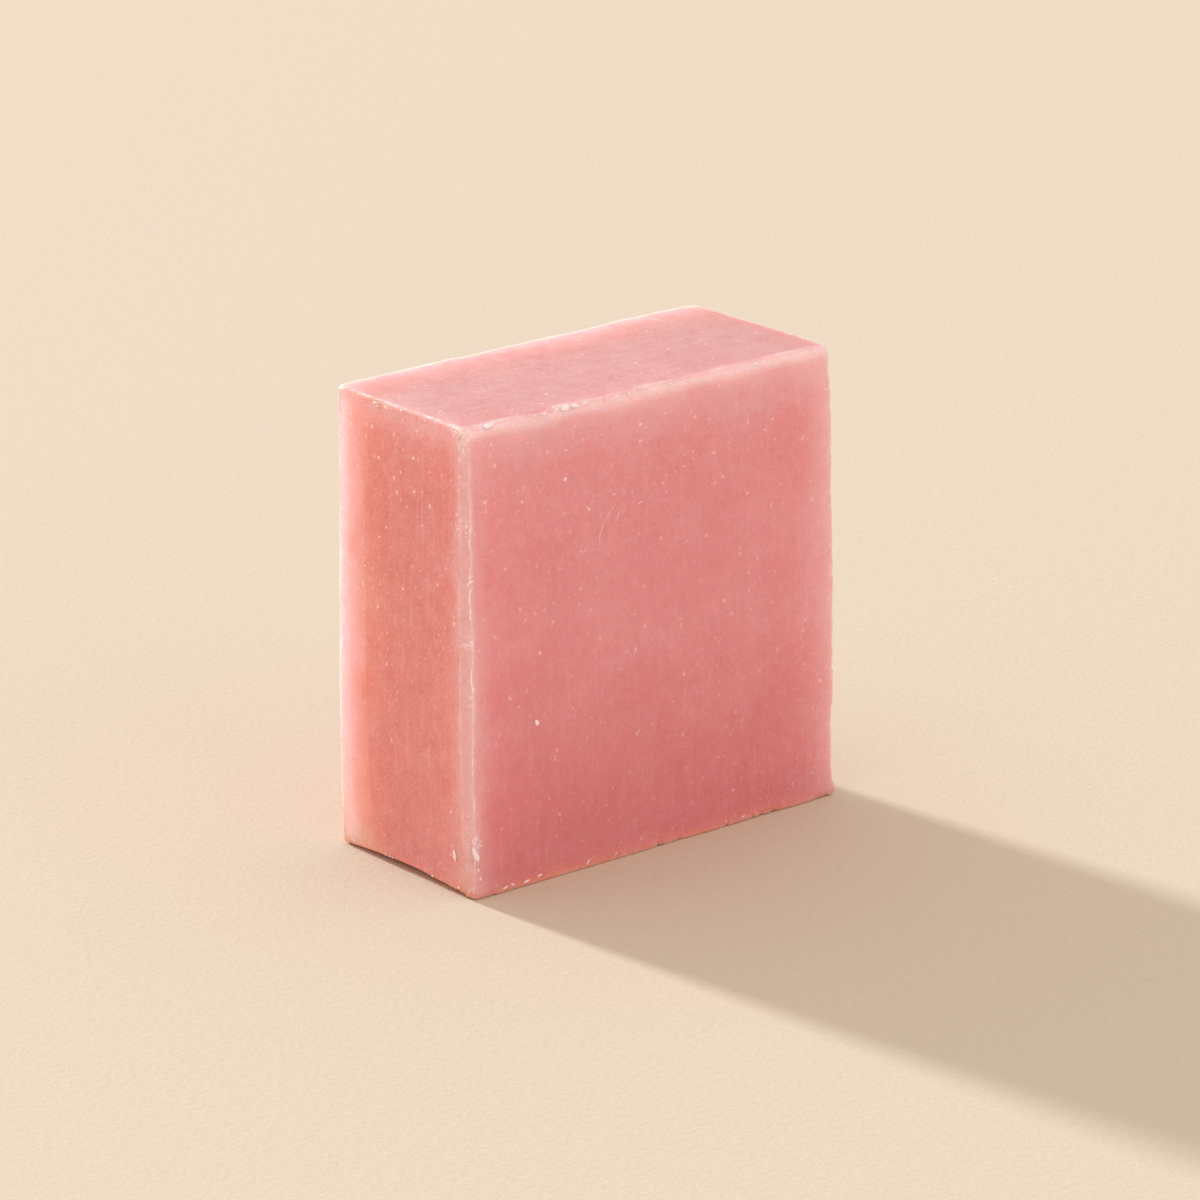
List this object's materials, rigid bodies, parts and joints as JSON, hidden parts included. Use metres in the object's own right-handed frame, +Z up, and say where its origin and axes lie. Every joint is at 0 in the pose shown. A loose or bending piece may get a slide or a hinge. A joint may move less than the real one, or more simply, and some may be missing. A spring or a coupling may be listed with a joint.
{
  "type": "shaving soap",
  "caption": "Hand-cut upright slab of pink shaving soap, slightly out of square, with a pared near edge, thin worn rims and a slightly undercut foot.",
  "frame": {"origin": "middle of the bar's outline at the level of its flat base", "axes": "+Z up, the bar's height and longest side; X along its width, with the pared near edge on the -X, -Y corner; Y through its thickness, with the broad front at -Y"},
  "size_m": [0.0624, 0.029, 0.0632],
  "materials": {
    "soap": "waxy, translucent pink soap: satin cut faces with fine knife marks and small pale specks, drier and paler at the edges"
  },
  "bodies": {
    "root": {"soap_bar": "soap"}
  },
  "joints": []
}
